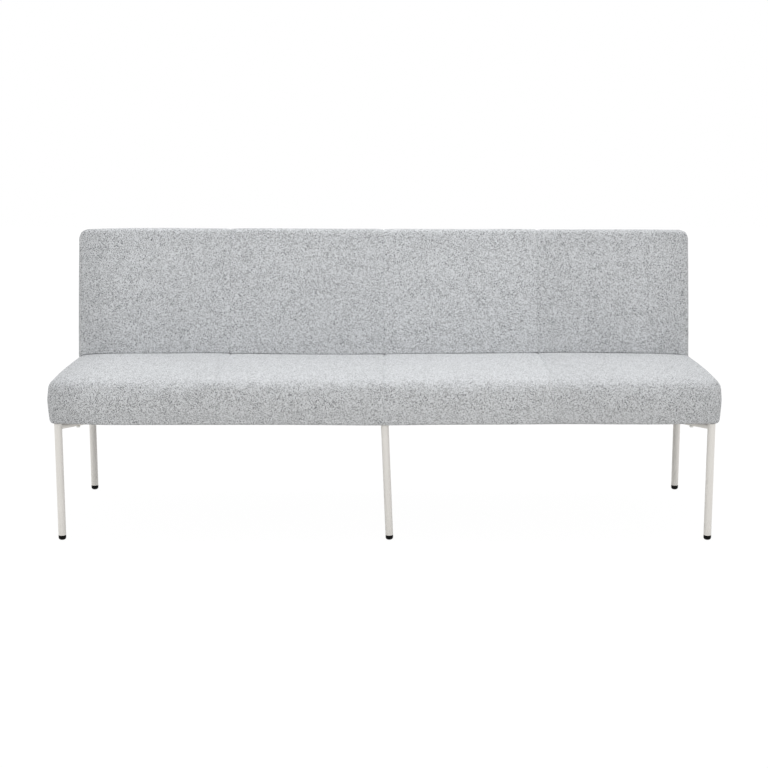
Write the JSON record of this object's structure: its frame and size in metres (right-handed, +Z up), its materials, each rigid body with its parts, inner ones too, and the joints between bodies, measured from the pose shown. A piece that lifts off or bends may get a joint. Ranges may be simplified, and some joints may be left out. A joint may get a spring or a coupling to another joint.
{
  "type": "dining sofa",
  "caption": "Upholstered dining sofa with a bench seat and a low reclined back, both in a woven fabric, on straight tubular steel legs with push-in glides.",
  "frame": {"origin": "On the floor, under the middle of the whole sofa's length and depth.", "axes": "+X runs along the sofa, to the right of someone who faces its front; +Y runs from the seat's front to the back; +Z is up."},
  "size_m": [1.908, 0.6643, 0.8393],
  "materials": {
    "cover_fabric": "light grey melange weave, matt",
    "leg_paint": "warm white powder coat, satin",
    "glide_plastic": "black moulded, satin",
    "dust_fabric": "black nonwoven",
    "foam": "cut polyurethane foam",
    "frame_wood": "sawn softwood, bare",
    "plywood": "birch plywood, bare",
    "bracket_steel": "black lacquer",
    "zinc_steel": "bright zinc plated"
  },
  "bodies": {
    "root": {"back_bottom_rail": "frame_wood", "back_bracket_1": "bracket_steel", "back_bracket_2": "bracket_steel", "back_bracket_3": "bracket_steel", "back_bracket_4": "bracket_steel", "back_cover": "cover_fabric", "back_foam": "foam", "back_panel": "plywood", "back_stile_1": "frame_wood", "back_stile_2": "frame_wood", "back_stile_3": "frame_wood", "back_stile_4": "frame_wood", "back_top_rail": "frame_wood", "bracket_block_1": "frame_wood", "bracket_block_2": "frame_wood", "bracket_block_3": "frame_wood", "bracket_block_4": "frame_wood", "bracket_foot_bolts": "zinc_steel", "bracket_foot_nuts": "zinc_steel", "bracket_stile_bolts": "zinc_steel", "bracket_stile_tee_nuts": "zinc_steel", "centre_glide": "glide_plastic", "centre_leg": "leg_paint", "centre_leg_plate": "plywood", "front_left_glide": "glide_plastic", "front_left_leg": "leg_paint", "front_right_glide": "glide_plastic", "front_right_leg": "leg_paint", "leg_bolts": "zinc_steel", "leg_tee_nuts": "zinc_steel", "rear_left_glide": "glide_plastic", "rear_left_leg": "leg_paint", "rear_right_glide": "glide_plastic", "rear_right_leg": "leg_paint", "seat_corner_plate_front_left": "plywood", "seat_corner_plate_front_right": "plywood", "seat_corner_plate_rear_left": "plywood", "seat_corner_plate_rear_right": "plywood", "seat_cover": "cover_fabric", "seat_cross_rail_1": "frame_wood", "seat_cross_rail_2": "frame_wood", "seat_cross_rail_3": "frame_wood", "seat_cross_rail_4": "frame_wood", "seat_deck": "plywood", "seat_dust_cover": "dust_fabric", "seat_foam": "foam", "seat_front_rail": "frame_wood", "seat_left_end_rail": "frame_wood", "seat_rear_rail": "frame_wood", "seat_right_end_rail": "frame_wood"}
  },
  "joints": []
}
